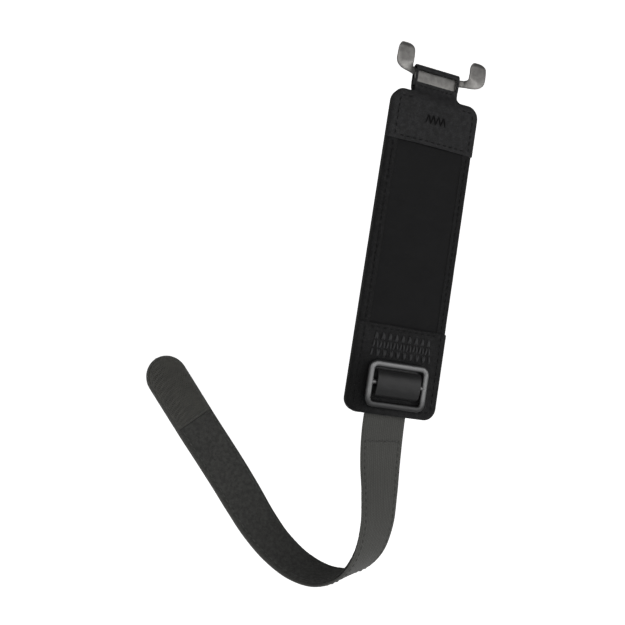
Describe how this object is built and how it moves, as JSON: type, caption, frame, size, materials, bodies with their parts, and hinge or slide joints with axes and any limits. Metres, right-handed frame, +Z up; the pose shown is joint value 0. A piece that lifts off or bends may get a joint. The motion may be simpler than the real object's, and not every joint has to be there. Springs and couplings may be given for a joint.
{
  "type": "padded hand strap",
  "caption": "Padded hand strap with a steel hook clip at the top, a slide buckle on the pad and a curled hook-and-loop tail.",
  "frame": {"origin": "centre of the pad's palm face", "axes": "+Z up along the pad towards the hook clip, -Y out of the decorated front, +X to the right seen from the front"},
  "size_m": [0.1342, 0.0652, 0.2702],
  "materials": {
    "leather": "grained",
    "cover_cloth": "matt woven",
    "lining_cloth": "brushed",
    "foam": "matt",
    "webbing": "ribbed",
    "loop_pile": "pile",
    "hook_pile": "moulded hooks",
    "thread": "twisted",
    "satin_band": "satin",
    "clip_steel": "satin",
    "buckle_steel": "satin"
  },
  "bodies": {
    "pad": {"back_lining": "lining_cloth", "foam_core": "foam", "load_webbing": "webbing", "front_cover": "cover_cloth", "top_cap": "leather", "bottom_patch": "leather", "edge_binding": "leather", "panel_seam_thread": "thread", "cap_bartack_thread": "thread", "zigzag_seam_thread": "thread"},
    "neck": {"clip_loop": "leather", "loop_seam_thread": "thread"},
    "clip": {"hook_clip": "clip_steel"},
    "keeper": {"buckle_keeper": "satin_band"},
    "buckle": {"slide_buckle": "buckle_steel"},
    "tail_upper": {"tail_upper_web": "webbing", "tail_upper_loop_tape": "loop_pile", "tail_stay_thread": "thread"},
    "tail_bend": {"tail_bend_web": "webbing", "tail_bend_loop_tape": "loop_pile"},
    "tail_end": {"tail_end_web": "webbing", "tail_end_loop_tape": "loop_pile", "tail_hook_patch": "hook_pile"}
  },
  "joints": [
    {"name": "neck_flex", "type": "hinge", "parent": "pad", "child": "neck", "pos_m": [0, -0.0017, 0.0802], "axis": [1, 0, 0], "range_deg": [-50, 50], "stiffness_Nm_per_rad": 0.1},
    {"name": "clip_rock", "type": "hinge", "parent": "neck", "child": "clip", "pos_m": [0, -0.0017, 0.08795], "axis": [1, 0, 0], "range_deg": [-8, 8]},
    {"name": "keeper_lift", "type": "hinge", "parent": "pad", "child": "keeper", "pos_m": [0, -0.0082, -0.0529], "axis": [-1, 0, 0], "range_deg": [0, 70], "stiffness_Nm_per_rad": 0.03},
    {"name": "buckle_tilt", "type": "hinge", "parent": "keeper", "child": "buckle", "pos_m": [0, -0.0107, -0.0635], "axis": [-1, 0, 0], "range_deg": [-7, 4]},
    {"name": "tail_root_flex", "type": "hinge", "parent": "pad", "child": "tail_upper", "pos_m": [-0.0005, -0.00194, -0.0801], "axis": [1, 0, 0], "range_deg": [-60, 60], "stiffness_Nm_per_rad": 0.15},
    {"name": "tail_curl", "type": "hinge", "parent": "tail_upper", "child": "tail_bend", "pos_m": [-0.00516, 0.00497, -0.15984], "axis": [0.793, 0.599, 0.1112], "range_deg": [-60, 30], "stiffness_Nm_per_rad": 0.15},
    {"name": "tail_end_flex", "type": "hinge", "parent": "tail_bend", "child": "tail_end", "pos_m": [-0.04265, 0.03776, -0.14438], "axis": [0.7402, 0.3577, 0.5693], "range_deg": [-45, 60], "stiffness_Nm_per_rad": 0.1}
  ]
}
